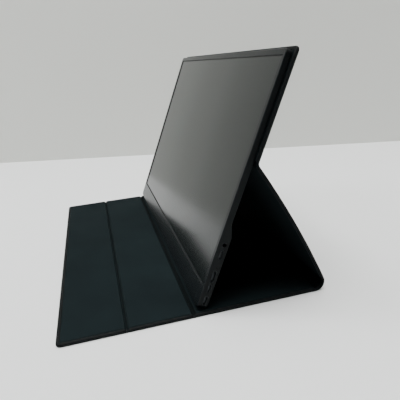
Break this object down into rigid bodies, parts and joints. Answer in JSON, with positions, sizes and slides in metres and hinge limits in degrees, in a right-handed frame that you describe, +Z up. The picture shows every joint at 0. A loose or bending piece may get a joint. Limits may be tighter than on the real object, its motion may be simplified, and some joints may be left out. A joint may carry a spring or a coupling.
{
  "type": "portable monitor with folding cover",
  "caption": "Thin portable monitor standing in a folding leather cover whose creased front flaps lie flat, with a soft spine and a leg that props the screen.",
  "frame": {"origin": "centre of the bounding box at the table surface", "axes": "+Z up, the screen faces -Y, +X to the viewer's right, where the sockets are"},
  "size_m": [0.3626, 0.2392, 0.214],
  "materials": {
    "housing_plastic": "fine matte grain",
    "frame_plastic": "satin",
    "screen": "semi-matte anti-glare film",
    "white_sheet": "translucent white",
    "plate_steel": "plain",
    "socket_steel": "nickel plated",
    "circuit_board": "solder mask",
    "flex_film": "polyimide film",
    "button_plastic": "matte",
    "leather": "fine grained imitation leather",
    "lining": "short microfibre nap",
    "board": "pressed fibre board"
  },
  "bodies": {
    "rear_base": {"rear_skin": "leather", "rear_board": "board", "rear_lining": "lining"},
    "middle_flap": {"middle_skin": "leather", "middle_board": "board", "middle_lining": "lining", "middle_crease": "lining"},
    "front_flap": {"front_skin": "leather", "front_board": "board", "front_lining": "lining", "flap_magnets": "plate_steel", "front_crease": "lining"},
    "spine": {"spine_board": "board", "spine_lower": "leather", "spine_upper": "leather"},
    "leg": {"leg_skin": "leather", "leg_board": "board", "leg_lining": "lining", "back_fold": "leather"},
    "monitor": {"rear_housing": "housing_plastic", "front_frame": "frame_plastic", "screen_panel": "screen", "diffuser_sheet": "white_sheet", "light_guide": "white_sheet", "reflector_sheet": "white_sheet", "light_strip": "white_sheet", "steel_back_plate": "plate_steel", "panel_board": "circuit_board", "panel_flexes": "flex_film", "signal_ribbon": "flex_film", "main_board": "circuit_board", "board_shield": "plate_steel", "board_screws": "plate_steel", "data_sockets": "socket_steel", "service_socket": "socket_steel", "video_socket": "socket_steel", "sound_socket": "button_plastic", "speaker_left": "button_plastic", "speaker_right": "button_plastic", "button_board": "circuit_board", "side_switches": "button_plastic", "button_cable": "flex_film", "back_panel_skin": "leather", "back_panel_board": "board", "back_panel_lining": "lining", "holding_magnets": "plate_steel"},
    "power_button": {"power_button": "button_plastic"},
    "menu_rocker": {"menu_rocker": "button_plastic"}
  },
  "joints": [
    {"name": "middle_flap_fold", "type": "hinge", "parent": "rear_base", "child": "middle_flap", "pos_m": [0, -0.00437, 0.0006], "axis": [-1, 0, 0], "range_deg": [0, 85], "deforming": ["middle_crease"]},
    {"name": "front_flap_fold", "type": "hinge", "parent": "middle_flap", "child": "front_flap", "pos_m": [0, -0.06197, 0.0006], "axis": [-1, 0, 0], "range_deg": [0, 85], "deforming": ["front_crease"]},
    {"name": "spine_open", "type": "hinge", "parent": "rear_base", "child": "spine", "pos_m": [0, 0.1152, 0.0008], "axis": [-1, 0, 0], "range_deg": [0, 75], "deforming": ["spine_lower"]},
    {"name": "stand_fold", "type": "hinge", "parent": "spine", "child": "leg", "pos_m": [0, 0.11998, 0.00873], "axis": [-1, 0, 0], "range_deg": [-14, 20], "deforming": ["spine_upper"]},
    {"name": "back_fold_bend", "type": "hinge", "parent": "leg", "child": "monitor", "pos_m": [0, 0.05772, 0.1267], "axis": [1, 0, 0], "range_deg": [-31, 44.2], "deforming": ["back_fold"]},
    {"name": "power_press", "type": "slide", "parent": "monitor", "child": "power_button", "axis": [1, 0, 0], "range_m": [0, 0.00035], "stiffness_N_per_m": 2500},
    {"name": "menu_rock", "type": "hinge", "parent": "monitor", "child": "menu_rocker", "pos_m": [-0.17535, 0.01649, 0.03402], "axis": [0, 0.9205, -0.3907], "range_deg": [-3, 3], "stiffness_Nm_per_rad": 0.12}
  ],
  "couplings": [
    {"joint": "back_fold_bend", "follows": "stand_fold", "ratio": 2.2}
  ]
}
